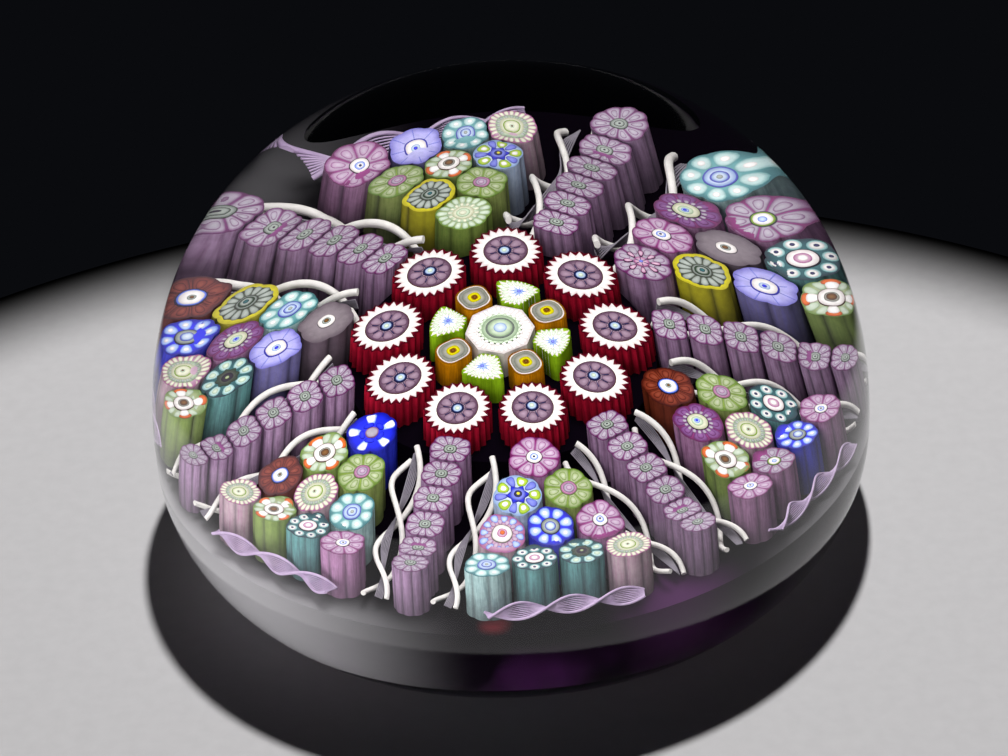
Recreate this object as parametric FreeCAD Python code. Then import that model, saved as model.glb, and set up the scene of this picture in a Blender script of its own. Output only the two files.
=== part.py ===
"""Domed glass paperweight with a set-up of patterned canes on a dark ground.

Millimetres, +Z up. The origin is the centre of the foot, on the surface that
the weight rests on. The front is -Y.
"""
import FreeCAD, Part
import math
import os
import random

# ---------------------------------------------------------------- clear glass
WEIGHT_DIAMETER = 70.0        # at the widest line
WEIGHT_HEIGHT = 45.0          # foot to crown
WIDEST_HEIGHT = 11.5          # height of the widest line above the foot
DOME_FULLNESS = 2.23          # 2 is an ellipse, more gives a fuller shoulder
FOOT_INSET = 5.25             # the flat foot ends this far inside the widest line
FOOT_ROUND = 0.6              # polished round between side and foot
DISH_DIAMETER = 44.0          # hollow ground into the underside
DISH_DEPTH = 1.0

# --------------------------------------------------------------------- set-up
SETUP_X = -0.4                # the set-up sits a little off the dome's axis
SETUP_Y = 1.3
SETUP_TOP = 16.5              # height of the cane tops at the centre
SETUP_CURVE = 43.0            # radius of the domed surface of the cane tops
SETUP_DIAMETER = 50.4         # ground and pocket
BRIM_START = 19.3             # from here outwards the tops level off
BRIM_SLOPE = 6.0              # fall of that brim, degrees
GROUND_SLOPE = 17.0           # fall of the ground under that brim, degrees
RING_DIAMETER = 19.76         # raised cushion of ground under the rings
RING_CANE_HEIGHT = 1.7        # length of the canes that stand on the cushion
CANE_HEIGHT = 3.0             # length of the spoke and panel canes, inside the brim
GROUND_UNDERSIDE = 2.5        # height of the flat underside of the ground

# ----------------------------------------------------- centre and inner ring
CENTRE_CANE_DIAMETER = 4.6    # across the corners
CENTRE_CANE_SIDES = 8
INNER_COUNT = 8
COG_DEPTH = 2.3               # radial size of a green cog cane, pressed to a fan
COG_NEAR = 1.2                # its width at the centre cane
COG_FAR = 3.1                 # its width at the outer shoulder
COG_ROUND = 0.3               # rounded upright corners
AMBER_DEPTH = 2.3             # radial size of an amber cane, pressed to a leaf
AMBER_NEAR = 2.0
AMBER_FAR = 2.2
AMBER_ROUND = 0.75
WEDGE_BULGE = 0.4             # rise of the outer side's arc
INNER_ANGLE = 26.0            # direction of the first amber cane, degrees
FIT_GAP = 0.08                # left between neighbouring canes
LOBE_VALLEY = 0.94            # depth of the groove between two lobes, as a share
PRESS_SHARPNESS = 12          # how crisp the corners between pressed sides are

# ------------------------------------------------------------ ruby cane ring
RUBY_COUNT = 9
RUBY_RING_RADIUS = 7.5
RUBY_DIAMETER = 4.7
RUBY_TEETH = 24
RUBY_TOOTH_DEPTH = 0.2
RUBY_ANGLE = 4.4

# -------------------------------------------------------------------- spokes
SPOKE_COUNT = 6
SPOKE_ANGLE = 8.7
SPOKE_CANES = 6
SPOKE_START = 11.0            # distance of a spoke's first cane from the centre
SPOKE_PITCH = 2.15
SPOKE_WIDTH = 2.9             # free diameter; the canes are pressed along the row
SPOKE_LOBES = 10
SPOKE_CANE_TURN = 18.0        # each cane is turned this much more than the last

# --------------------------------------------------------------- twist rods
TWIST_START = 10.4            # distance from the centre along the spoke
TWIST_LENGTH = 12.2
TWIST_RADIUS = 0.84           # thread centre line from the rod's axis
TWIST_THREAD = 0.56           # thread diameter
TWIST_PITCH = 11.0            # one full turn
TWIST_GAP = 0.22              # between the spoke and the rod
TWIST_SINK = 0.2              # rod below the surface of the cane tops
RIM_TWIST_LENGTH = 12.2
RIM_TWIST_RADIUS = 0.62
RIM_TWIST_THREAD = 0.44
RIM_TWIST_PITCH = 8.0
RIM_TWIST_DROP = 0.6          # rod axis below the domed surface

# -------------------------------------------------------------------- panels
PANEL_ROWS = 4                # 1, 2, 3 and 4 canes, apex towards the centre
PANEL_START = 11.8
PANEL_ROW_PITCH = 2.9
PANEL_CANE_PITCH = 3.5        # across the row
PANEL_PACKING = [1.0, 1.02, 0.98, 0.91, 0.88, 0.98]  # share of both pitches, panel by panel
PANEL_CANE_DIAMETER = 3.7     # free diameter, before neighbours press it
PANEL_LOBES = 8
PANEL_SHAKE = 0.05            # most that a hand-set cane is out of place

# Each panel's canes by kind, row by row from the apex, seen from above and
# read clockwise. Panel k lies clockwise of spoke k.
PANELS = [
    ["brick", "moss", "plum", "teal_circle", "cream", "tangerine",
     "pink", "blue_circle", "mauve", "pink"],
    ["pink", "moss", "periwinkle", "pink", "blue_circle", "rose",
     "cream", "teal_dark", "teal_circle", "pale_blue"],
    ["blue_wedge", "moss", "tangerine", "pale_blue", "cream", "brick",
     "pink", "teal_circle", "tangerine", "cream"],
    ["smoke", "lavender", "pale_blue", "teal_dark", "plum", "yellow",
     "tangerine", "cream", "blue_circle", "brick"],
    ["lime", "yellow", "moss", "moss", "tangerine", "periwinkle",
     "pink", "lavender", "pale_blue", "cream"],
    ["heather", "pink", "yellow", "plum", "smoke", "lavender",
     "pale_blue", "mauve", "teal_circle", "tangerine"],
]

# ------------------------------------------------------------- derived sizes
SPOKE_STEP = 360.0 / SPOKE_COUNT
SETUP_CENTRE = FreeCAD.Vector(SETUP_X, SETUP_Y, SETUP_TOP - SETUP_CURVE)
DOME_HEIGHT = WEIGHT_HEIGHT - WIDEST_HEIGHT
TWIST_OFFSET = SPOKE_WIDTH / 2 + TWIST_GAP + TWIST_RADIUS + TWIST_THREAD / 2
UP = FreeCAD.Vector(0, 0, 1)


def vec(x, y, z=0.0):
    return FreeCAD.Vector(x, y, z)


def polar(radius, degrees, z=0.0):
    a = math.radians(degrees)
    return vec(radius * math.cos(a), radius * math.sin(a), z)


def plan_point(angle, along, across):
    """A point of the set-up's plan: along a direction, and across it."""
    return vec(SETUP_X, SETUP_Y) + polar(along, angle) + polar(across, angle + 90)


def top_height(point):
    """Height of the cane tops above a plan point."""
    square = (point.x - SETUP_X) ** 2 + (point.y - SETUP_Y) ** 2
    return SETUP_CENTRE.z + math.sqrt(SETUP_CURVE ** 2 - square)


def brimmed_ball(radius, slope):
    """Everything below a ball about the set-up's centre that has a flatter brim near the rim."""
    ball = Part.makeSphere(radius, SETUP_CENTRE)
    fall = math.tan(math.radians(slope))
    apex = SETUP_CENTRE.z + math.sqrt(radius ** 2 - BRIM_START ** 2) + BRIM_START * fall
    edge = apex - WEIGHT_DIAMETER / 2 * fall
    brim = Part.makeCone(WEIGHT_DIAMETER / 2, 0, apex - edge, vec(SETUP_X, SETUP_Y, edge))
    skirt = Part.makeCylinder(WEIGHT_DIAMETER / 2, edge, vec(SETUP_X, SETUP_Y))
    return ball.fuse(brim.fuse(skirt))


def ground_body():
    """Everything below the canes' feet, with a raised cushion in the middle."""
    floor = brimmed_ball(SETUP_CURVE - CANE_HEIGHT, GROUND_SLOPE)
    raised = Part.makeSphere(SETUP_CURVE - RING_CANE_HEIGHT, SETUP_CENTRE)
    cushion = Part.makeCylinder(RING_DIAMETER / 2, WEIGHT_HEIGHT, vec(SETUP_X, SETUP_Y))
    return floor.fuse(raised.common(cushion))


# Every cane is cut between these two.
tops = brimmed_ball(SETUP_CURVE, BRIM_SLOPE)
ground = ground_body()


# --------------------------------------------------------------- clear glass
def weight_solid():
    """The whole outside of the weight, as a solid of revolution."""
    radius = WEIGHT_DIAMETER / 2
    foot = radius - FOOT_INSET
    under_radius = (FOOT_INSET ** 2 + WIDEST_HEIGHT ** 2) / (2 * FOOT_INSET)
    middle = WIDEST_HEIGHT / 2
    middle_reach = radius - under_radius + math.sqrt(under_radius ** 2 - middle ** 2)
    side = Part.Arc(vec(foot, 0, 0), vec(middle_reach, 0, middle), vec(radius, 0, WIDEST_HEIGHT))

    steps = 24
    dome_points = []
    for i in range(steps + 1):
        a = math.pi / 2 * i / steps
        reach = radius * math.cos(a) ** (2 / DOME_FULLNESS) if i < steps else 0.0
        rise = DOME_HEIGHT * math.sin(a) ** (2 / DOME_FULLNESS)
        dome_points.append(vec(reach, 0, WIDEST_HEIGHT + rise))
    dome = Part.BSplineCurve()
    dome.interpolate(dome_points, InitialTangent=vec(0, 0, 1), FinalTangent=vec(-1, 0, 0))

    crown = vec(0, 0, WEIGHT_HEIGHT)
    edges = [side.toShape(), dome.toShape(), Part.makeLine(crown, vec(0, 0)),
             Part.makeLine(vec(0, 0), vec(foot, 0))]
    face = Part.Face(Part.Wire(edges))
    solid = face.revolve(vec(0, 0), UP, 360)
    rims = [e for e in solid.Edges if e.BoundBox.ZMax < 0.001 and e.BoundBox.XMax > foot - 0.001]
    return solid.makeFillet(FOOT_ROUND, rims)


def dish_solid():
    """The shallow ball-shaped hollow that is ground into the underside."""
    rim = DISH_DIAMETER / 2
    ball = (rim ** 2 + DISH_DEPTH ** 2) / (2 * DISH_DEPTH)
    return Part.makeSphere(ball, vec(0, 0, DISH_DEPTH - ball))


def setup_core():
    """Everything inside the pocket: set-up, ground and base, as one cylinder."""
    return Part.makeCylinder(SETUP_DIAMETER / 2, WEIGHT_HEIGHT, vec(SETUP_X, SETUP_Y))


def below(height):
    half = WEIGHT_DIAMETER
    return Part.makeBox(2 * half, 2 * half, half, vec(-half, -half, height - half))


# --------------------------------------------------------------------- canes
def cut_cane(outline, centre):
    """Raise an outline into a cane that stands on the ground under the tops."""
    column = Part.Face(outline).extrude(vec(0, 0, WEIGHT_HEIGHT))
    column.translate(centre)
    return column.common(tops).cut(ground)


def toothed_outline(radius, teeth, depth, turn):
    points = []
    for i in range(2 * teeth + 1):
        reach = radius - (depth if i % 2 else 0)
        points.append(polar(reach, turn + 180.0 * i / teeth))
    return Part.makePolygon(points)


def pressed_reach(free, presses, degrees):
    """Radius of a round rod that is pressed flat, softly, in some directions."""
    total = free ** -PRESS_SHARPNESS
    for direction, limit in presses:
        facing = math.cos(math.radians(degrees - direction))
        if facing > 0:
            total += (facing / limit) ** PRESS_SHARPNESS
    return total ** (-1 / PRESS_SHARPNESS)


def lobed_outline(free, presses, lobes, turn):
    """A flower outline: one arc per lobe round the pressed shape."""
    step = 360.0 / lobes
    arcs = []
    for i in range(lobes):
        ends = []
        for groove in (turn + i * step, turn + (i + 1) * step):
            ends.append(polar(LOBE_VALLEY * pressed_reach(free, presses, groove), groove))
        middle = turn + (i + 0.5) * step
        peak = polar(pressed_reach(free, presses, middle), middle)
        arcs.append(Part.Arc(ends[0], peak, ends[1]).toShape())
    return Part.Wire(arcs)


def regular_cane(centre, radius, sides, turn):
    points = [polar(radius, turn + 360.0 * i / sides) for i in range(sides + 1)]
    return cut_cane(Part.makePolygon(points), centre)


def wedge_cane(angle, depth, near, far, corner):
    """A cane of the inner ring: near and far are its widths, towards and away from the centre."""
    inner = CENTRE_CANE_DIAMETER / 2 + FIT_GAP
    outer = inner + depth
    shoulder = outer - WEDGE_BULGE
    corners = [vec(inner, -near / 2), vec(shoulder, -far / 2), vec(shoulder, far / 2), vec(inner, near / 2)]
    edges = [
        Part.makeLine(corners[3], corners[0]),
        Part.makeLine(corners[0], corners[1]),
        Part.Arc(corners[1], vec(outer, 0), corners[2]).toShape(),
        Part.makeLine(corners[2], corners[3]),
    ]
    column = Part.Face(Part.Wire(edges)).extrude(vec(0, 0, WEIGHT_HEIGHT))
    upright = [e for e in column.Edges if e.BoundBox.ZLength > WEIGHT_HEIGHT / 2]
    column = column.makeFillet(corner, upright)
    column.rotate(vec(0, 0), UP, angle)
    column.translate(vec(SETUP_X, SETUP_Y))
    return column.common(tops).cut(ground)


# ---------------------------------------------------------------- twist rods
def twist_threads(start, end, radius, thread, pitch, phase):
    """Two threads wound round a straight axis, as separate solids."""
    length = (end - start).Length
    threads = []
    for half_turn in (0, 180):
        helix = Part.Wire(Part.makeHelix(pitch, length, radius))
        rise = vec(0, 2 * math.pi * radius, pitch)
        section = Part.Wire(Part.makeCircle(thread / 2, vec(radius, 0), rise))
        solid = helix.makePipeShell([section], True, True)
        solid.rotate(vec(0, 0), UP, phase + half_turn)
        solid.Placement = FreeCAD.Placement(start, FreeCAD.Rotation(UP, end - start)).multiply(
            solid.Placement)
        threads.append(solid)
    return threads


def spoke_twist(angle, side):
    """The rod on one side of a spoke: its ends follow the domed tops."""
    sink = TWIST_RADIUS + TWIST_THREAD / 2 + TWIST_SINK
    ends = []
    for along in (TWIST_START, TWIST_START + TWIST_LENGTH):
        point = plan_point(angle, along, side * TWIST_OFFSET)
        ends.append(vec(point.x, point.y, top_height(point) - sink))
    return twist_threads(ends[0], ends[1], TWIST_RADIUS, TWIST_THREAD, TWIST_PITCH, 35 + 50 * side)


def rim_twist(angle, packing):
    """The fine rod along the outer edge of a panel."""
    last_row = PANEL_START + (PANEL_ROWS - 1) * PANEL_ROW_PITCH * packing
    outermost = last_row + PANEL_CANE_DIAMETER / 2
    along = outermost + FIT_GAP + PANEL_SHAKE + RIM_TWIST_RADIUS + RIM_TWIST_THREAD / 2
    ends = []
    for across in (-RIM_TWIST_LENGTH / 2, RIM_TWIST_LENGTH / 2):
        point = plan_point(angle, along, across)
        ends.append(vec(point.x, point.y, top_height(point) - RIM_TWIST_DROP))
    return twist_threads(ends[0], ends[1], RIM_TWIST_RADIUS, RIM_TWIST_THREAD, RIM_TWIST_PITCH, 0)


# -------------------------------------------------------------------- panels
def panel_angle(k):
    """Direction of the middle of a panel, halfway between two spokes."""
    return SPOKE_ANGLE - SPOKE_STEP * (k + 0.5)


def panel_places(angle, packing):
    """Plan points of one panel's canes, row by row from the apex."""
    places = []
    for row in range(PANEL_ROWS):
        along = PANEL_START + row * PANEL_ROW_PITCH * packing
        for i in range(row + 1):
            across = (row / 2 - i) * PANEL_CANE_PITCH * packing
            places.append(plan_point(angle, along, across))
    return places


def neighbour_presses(place, places):
    """Where the other canes of a panel stop one: halfway, less the gap."""
    presses = []
    for other in places:
        away = other - place
        if 0 < away.Length < PANEL_CANE_DIAMETER * 1.5:
            direction = math.degrees(math.atan2(away.y, away.x))
            presses.append((direction, (away.Length - FIT_GAP) / 2))
    return presses


def rod_presses(place, angle):
    """Where the twist rods along the two neighbouring spokes stop a cane."""
    rod_edge = TWIST_OFFSET + TWIST_RADIUS + TWIST_THREAD / 2 + FIT_GAP
    offset = place - vec(SETUP_X, SETUP_Y)
    presses = []
    for side in (1, -1):
        spoke = angle + side * SPOKE_STEP / 2
        direction = spoke + side * 90
        distance = -offset.dot(polar(1, direction))
        presses.append((direction, distance - rod_edge))
    return presses


def panel_canes():
    """All the assorted canes, gathered by kind: canes of a kind are cut from one rod."""
    hand = random.Random(12)
    kinds = {}
    for k, kind_names in enumerate(PANELS):
        places = []
        for place in panel_places(panel_angle(k), PANEL_PACKING[k]):
            places.append(place + polar(PANEL_SHAKE * hand.random(), 360 * hand.random()))
        for kind, place in zip(kind_names, places):
            presses = neighbour_presses(place, places) + rod_presses(place, panel_angle(k))
            turn = 360 * hand.random()
            outline = lobed_outline(PANEL_CANE_DIAMETER / 2, presses, PANEL_LOBES, turn)
            kinds.setdefault(kind, []).append(cut_cane(outline, place))
    return kinds


def spoke_canes(angle):
    """One row of mauve canes, each pressed by the next, the first by the ruby ring."""
    ring_edge = RUBY_RING_RADIUS + RUBY_DIAMETER / 2
    canes = []
    for i in range(SPOKE_CANES):
        inward = (SPOKE_PITCH - FIT_GAP) / 2 if i else SPOKE_START - ring_edge - FIT_GAP
        presses = [(angle + 180, inward)]
        if i < SPOKE_CANES - 1:
            presses.append((angle, (SPOKE_PITCH - FIT_GAP) / 2))
        outline = lobed_outline(SPOKE_WIDTH / 2, presses, SPOKE_LOBES, angle + SPOKE_CANE_TURN * i)
        canes.append(cut_cane(outline, plan_point(angle, SPOKE_START + i * SPOKE_PITCH, 0)))
    return canes


# ------------------------------------------------------------------ assembly
def save(name, solids):
    for solid in solids:
        if not solid.isValid() or len(solid.Solids) != 1:
            raise ValueError(name + " is not one sound solid per piece")
    shape = solids[0].Solids[0] if len(solids) == 1 else Part.makeCompound([s.Solids[0] for s in solids])
    shape.exportStep("parts/" + name + ".step")
    print(name, len(solids), "solid(s)", round(sum(s.Volume for s in solids), 2), "mm3")


os.makedirs("parts", exist_ok=True)

whole = weight_solid()
core = setup_core()
dish = dish_solid()
low = below(GROUND_UNDERSIDE)
save("clear_dome", [whole.cut(core.common(tops)).cut(dish)])
save("clear_base", [whole.common(core).common(low).cut(dish)])
save("amethyst_ground", [core.common(ground).cut(low)])

setup_middle = vec(SETUP_X, SETUP_Y)
save("centre_cane", [regular_cane(setup_middle, CENTRE_CANE_DIAMETER / 2, CENTRE_CANE_SIDES,
                                  INNER_ANGLE + 180.0 / CENTRE_CANE_SIDES)])

for i in range(INNER_COUNT):
    angle = INNER_ANGLE - 360.0 * i / INNER_COUNT
    number = str(i // 2 + 1)
    if i % 2:
        save("green_cog_cane_" + number, [wedge_cane(angle, COG_DEPTH, COG_NEAR, COG_FAR, COG_ROUND)])
    else:
        save("amber_cane_" + number, [wedge_cane(angle, AMBER_DEPTH, AMBER_NEAR, AMBER_FAR, AMBER_ROUND)])

for i in range(RUBY_COUNT):
    angle = RUBY_ANGLE - 360.0 * i / RUBY_COUNT
    outline = toothed_outline(RUBY_DIAMETER / 2, RUBY_TEETH, RUBY_TOOTH_DEPTH, angle)
    save("ruby_cane_" + str(i + 1), [cut_cane(outline, plan_point(angle, RUBY_RING_RADIUS, 0))])

for k in range(SPOKE_COUNT):
    angle = SPOKE_ANGLE - SPOKE_STEP * k
    save("spoke_" + str(k + 1) + "_canes", spoke_canes(angle))
    save("spoke_" + str(k + 1) + "_twist_left", spoke_twist(angle, 1))
    save("spoke_" + str(k + 1) + "_twist_right", spoke_twist(angle, -1))

rim_threads = []
for k in range(SPOKE_COUNT):
    rim_threads += rim_twist(panel_angle(k), PANEL_PACKING[k])
save("rim_twists", rim_threads)

for kind, canes in panel_canes().items():
    save(kind + "_canes", canes)
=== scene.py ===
# %% [markdown]
# # A domed paperweight with a set-up of patterned canes
#
# The real weight is solid glass. On a hot plate the maker stands some hundred slices of drawn cane on
# end, side by side, in a pattern. They are picked up on a dark ground, and a clear gather is laid over
# them and shaped into a dome, which magnifies what lies under it.
#
# The CAD frame already holds every piece at its size and place. This file gives each one the look of
# its glass, in the order in which the real weight is put together: canes, rods, ground, clear dome.

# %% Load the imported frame
import math
import random

import bmesh
import bpy
import numpy as np
from mathutils import Matrix, Vector


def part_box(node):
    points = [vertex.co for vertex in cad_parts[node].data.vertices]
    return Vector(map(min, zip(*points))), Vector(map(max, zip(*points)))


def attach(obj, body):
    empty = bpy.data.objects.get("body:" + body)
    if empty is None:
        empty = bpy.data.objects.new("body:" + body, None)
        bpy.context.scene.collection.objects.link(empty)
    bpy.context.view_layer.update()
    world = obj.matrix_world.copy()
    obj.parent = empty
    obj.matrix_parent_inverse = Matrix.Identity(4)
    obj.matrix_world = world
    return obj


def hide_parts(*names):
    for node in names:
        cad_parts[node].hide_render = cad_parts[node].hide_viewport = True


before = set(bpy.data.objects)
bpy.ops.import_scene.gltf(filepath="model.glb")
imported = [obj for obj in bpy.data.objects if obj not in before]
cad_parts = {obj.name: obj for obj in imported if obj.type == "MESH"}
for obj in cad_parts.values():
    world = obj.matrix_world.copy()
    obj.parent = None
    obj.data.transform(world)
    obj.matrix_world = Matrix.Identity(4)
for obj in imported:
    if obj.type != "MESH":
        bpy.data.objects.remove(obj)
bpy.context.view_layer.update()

MM = 0.001
print("nodes in the frame:", len(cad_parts))

# %% [markdown]
# ## Colours and nodes
#
# Glass colours are easiest to name as they look, so they are written as sRGB hex values. Blender
# calculates with linear light, so one function turns them over. A second small function adds a shader
# node with its settings and links, which keeps each material short enough to read as a recipe.

# %% Colour and node helpers
COLOURS = {"data_type": "RGBA"}                     # a Mix node for colours
SMOOTH = {"interpolation_type": "SMOOTHSTEP"}       # a Map Range node with soft ends


def linear(hex_colour):
    parts = [int(hex_colour[i:i + 2], 16) / 255 for i in (1, 3, 5)]
    light = [p / 12.92 if p <= 0.04045 else ((p + 0.055) / 1.055) ** 2.4 for p in parts]
    return (*light, 1.0)


def add_node(tree, kind, settings=None, **inputs):
    """Adds one node. A tuple (node, output) makes a link; anything else is a value."""
    node = tree.nodes.new("ShaderNode" + kind)
    for name, value in (settings or {}).items():
        setattr(node, name, value)
    for name, value in inputs.items():
        key = int(name[1:]) if name[0] == "i" and name[1:].isdigit() else name.replace("_", " ")
        if isinstance(value, tuple) and hasattr(value[0], "outputs"):
            tree.links.new(value[0].outputs[value[1]], node.inputs[key])
        else:
            node.inputs[key].default_value = value
    return node


def new_material(name):
    material = bpy.data.materials.new(name)
    material.use_nodes = True
    material.node_tree.nodes.clear()
    return material, material.node_tree


# %% [markdown]
# ## Opal cane glass
#
# Every cane is a bundle of coloured rods that were fused and drawn out thin. Seen end on, a rod is
# palest in its heart, and its skin, where it met its neighbours, shows as a fine darker line. Seen
# from the side it is streaked lengthways by the drawing. The rods lie inside clear glass of almost the
# same index, so no light is mirrored at their surface: specular is off, and the colour is all diffuse.
# Towards the foot each wall is painted darker: painted shade. Near the rim of the dome a faint grey
# veil is painted over the canes: a painted reflection of the glass.
#
# Each rod's mesh carries four numbers, so the shader knows where it is on the rod: `skin` goes from 0
# at the heart to 1 at the edge of the cut end, `side` is 0 on the cut end and 1 on the wall, `down`
# goes from 0 at the top of the wall to 1 at its foot, and `tone` makes one rod lighter or darker; on a
# casing's wall it also holds the painted shade of its grooves.

# %% Cane glass
ROD_MOTTLE = 0.35 * MM        # size of the cloudiness in opal glass
STREAK_WIDTH = 0.12 * MM      # drawn streaks along a wall
# painted shade: the share of its colour that a wall keeps at its foot
FOOT_SHADE = 0.42             # how much of its colour a wall keeps at the foot


PAINTED_VEIL = 0.17                   # share of painted grey veil, a painted reflection of the glass, on the canes nearest the dome's edge
VEIL_START = 10 * MM
VEIL_END = 20 * MM


def cane_glass(name, heart, body, skin, wall=None, line=0.88):
    """An opaque glass colour: heart, body and skin are the cut end, wall is its side."""
    material, tree = new_material(name)
    place = add_node(tree, "TexCoord")
    number = {key: add_node(tree, "Attribute", {"attribute_name": key})
              for key in ("skin", "side", "down", "tone")}

    end = add_node(tree, "ValToRGB", i0=(number["skin"], "Fac"))
    ramp = end.color_ramp
    ramp.elements[0].position = 0.2
    ramp.elements[0].color = linear(heart)
    ramp.elements[1].position = 1.0
    ramp.elements[1].color = linear(skin)
    ramp.elements.new(line - 0.16).color = linear(body)

    stretched = add_node(tree, "Mapping", i0=(place, "Object"), Scale=(1.0, 1.0, 0.08))
    streaks = add_node(tree, "TexNoise", i0=(stretched, 0), Scale=1 / STREAK_WIDTH, Detail=2.0)
    streak = add_node(tree, "MapRange", i0=(streaks, "Fac"), i1=0.4, i2=0.8, i4=0.6)
    wall_mix = add_node(tree, "Mix", COLOURS, i0=(streak, 0),
                        i6=linear(wall or body), i7=linear(skin))
    both = add_node(tree, "Mix", COLOURS, i0=(number["side"], "Fac"),
                    i6=(end, 0), i7=(wall_mix, 2))

    cloud = add_node(tree, "TexNoise", i0=(place, "Object"), Scale=1 / ROD_MOTTLE, Detail=3.0)
    shade = add_node(tree, "MapRange", i0=(cloud, "Fac"), i1=0.3, i2=0.7, i3=0.88, i4=1.08)
    shade = add_node(tree, "Math", {"operation": "MULTIPLY"}, i0=(shade, 0), i1=(number["tone"], "Fac"))
    # painted shade, deepening towards the foot of the wall
    foot = add_node(tree, "MapRange", SMOOTH,
                    i0=(number["down"], "Fac"), i1=0.1, i2=0.95, i3=1.0, i4=FOOT_SHADE)
    shade = add_node(tree, "Math", {"operation": "MULTIPLY"}, i0=(shade, 0), i1=(foot, 0))
    final = add_node(tree, "VectorMath", {"operation": "SCALE"}, i0=(both, 2), Scale=(shade, 0))
    # painted reflection: a grey veil of the glass over the canes, growing outwards from the middle
    reach = add_node(tree, "Mapping", i0=(place, "Object"), Scale=(1.0, 1.0, 0.0))
    reach = add_node(tree, "VectorMath", {"operation": "LENGTH"}, i0=(reach, 0))
    veil = add_node(tree, "MapRange", i0=(reach, "Value"), i1=VEIL_START, i2=VEIL_END, i4=PAINTED_VEIL)
    final = add_node(tree, "Mix", COLOURS, i0=(veil, 0),
                     i6=(final, 0), i7=linear("#8F8894"))

    shader = add_node(tree, "BsdfPrincipled", Base_Color=(final, 2), Roughness=0.5, IOR=1.5,
                      Specular_IOR_Level=0.0)
    add_node(tree, "OutputMaterial", Surface=(shader, 0))
    return material


# %% The colour pots: one glass for each colour of rod
GLASS = {
    "white": cane_glass("opal_white", "#F6F4F2", "#ECE7E4", "#CFC4C2", "#D9D0CA"),
    "ivory": cane_glass("opal_ivory", "#DCDCC8", "#CFCFB6", "#A8A98A", "#C4B4B2"),
    "mint": cane_glass("opal_mint", "#D2DCCB", "#BFCFB4", "#8FA684"),
    "bottle_green": cane_glass("bottle_green", "#34502E", "#2A4526", "#142410"),
    "lime": cane_glass("opal_lime", "#B4C848", "#A0BC2A", "#5E8410", "#9CCB1E"),
    "moss": cane_glass("opal_moss", "#AFB69A", "#98A574", "#5C7A2A", "#7E9444"),
    "moss_line": cane_glass("moss_line", "#8CA43A", "#7C9630", "#4E6A14", "#8C9A50"),
    "olive_line": cane_glass("olive_line", "#5A6250", "#454C3C", "#2C3226"),
    "ice": cane_glass("opal_ice", "#D4DEE8", "#B4C4DC", "#7E98C4"),
    "amber": cane_glass("clear_amber", "#B4821C", "#A26E0E", "#6E4206", "#E0900A"),
    "yellow": cane_glass("opal_yellow", "#DED228", "#D4C80E", "#A89E04", "#B0A814"),
    "brown": cane_glass("brown", "#7A5220", "#5E3C12", "#3A2208"),
    "grey": cane_glass("opal_grey", "#A9A79C", "#97958A", "#6E6C62"),
    "pearl": cane_glass("opal_pearl", "#A9B0A8", "#98A098", "#666E66"),
    "mauve": cane_glass("opal_mauve", "#ACA6B0", "#A194A4", "#6C3868", "#A484A6"),
    "mauve_line": cane_glass("mauve_line", "#84407A", "#702E66", "#501A48", "#A080A2"),
    "mauve_disc": cane_glass("mauve_disc", "#8E7888", "#7E6678", "#4A3044"),
    "pink": cane_glass("opal_pink", "#BCAABC", "#AF92AC", "#86407A", "#A85C92"),
    "pink_line": cane_glass("pink_line", "#96347E", "#862C70", "#5A1848", "#AC7CA4"),
    "rose": cane_glass("opal_rose", "#D0B2C2", "#C094AE", "#9A4A80", "#B8A0A8"),
    "ruby": cane_glass("cased_ruby", "#9A1830", "#86102A", "#3A0410", "#A8142E"),
    "navy": cane_glass("navy", "#2C2F5E", "#23264E", "#10122C"),
    "cobalt": cane_glass("cobalt", "#2834E6", "#1E28D8", "#0E1480", "#2A34C8"),
    "sky": cane_glass("opal_sky", "#C4D4F0", "#9CB4E8", "#3C58C8", "#5068CC"),
    "periwinkle": cane_glass("opal_periwinkle", "#8088DC", "#6C74D0", "#3A4098", "#8084B4"),
    "lavender": cane_glass("opal_lavender", "#BCBAE8", "#A8A4E0", "#6A66B8", "#6E6898"),
    "teal": cane_glass("deep_teal", "#2A6668", "#1E5458", "#0A2A30", "#5A9492"),
    "aqua": cane_glass("opal_aqua", "#C8DAD8", "#AECAC8", "#5C9494", "#8CB8B4"),
    "aqua_line": cane_glass("aqua_line", "#6EA6A6", "#5A9698", "#2E6468", "#A4C4C2"),
    "orange": cane_glass("orange", "#D8702A", "#CC5E14", "#8A3806"),
    "brick": cane_glass("opal_brick", "#8E4430", "#7C3220", "#3E1008", "#6A2C1A"),
    "plum": cane_glass("opal_plum", "#85588C", "#74447E", "#560E48"),
    "smoke": cane_glass("smoke", "#857A80", "#776C72", "#584C54", "#5E4E5A"),
    "ink": cane_glass("ink_line", "#241A2A", "#1A1220", "#0C0812"),
}
print("cane glasses:", len(GLASS))

# %% [markdown]
# ## Where the canes stand
#
# Each CAD cane is a separate upright solid. Its wall gives the outline in plan, so every pattern can
# be pressed into the true shape of its cane: a point at a share `rho` of the way out and an angle
# lands inside the pressed outline just as it did in the hot glass. The cut ends lie on one shallow
# sphere, whose top is the top of the centre cane, and level off to a brim near the rim. The ground
# below has the same shape, with a raised cushion in the middle.

# %% The two surfaces that canes are cut between
SETUP_CURVE = 43.0 * MM
BRIM_START = 19.3 * MM        # from here outwards the tops level off
BRIM_SLOPE = math.radians(6.0)
GROUND_SLOPE = math.radians(17.0)
RING_REACH = 9.88 * MM        # the raised cushion under the rings
RING_CANE_HEIGHT = 1.7 * MM
CANE_HEIGHT = 3.0 * MM
WELD = 0.002 * MM             # the frame's corners closer than this are one corner
low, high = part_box("centre_cane")
SETUP_X = (low.x + high.x) / 2
SETUP_Y = (low.y + high.y) / 2
SPHERE_Z = high.z - SETUP_CURVE
print("set-up centre, mm:", round(SETUP_X / MM, 2), round(SETUP_Y / MM, 2))


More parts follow.
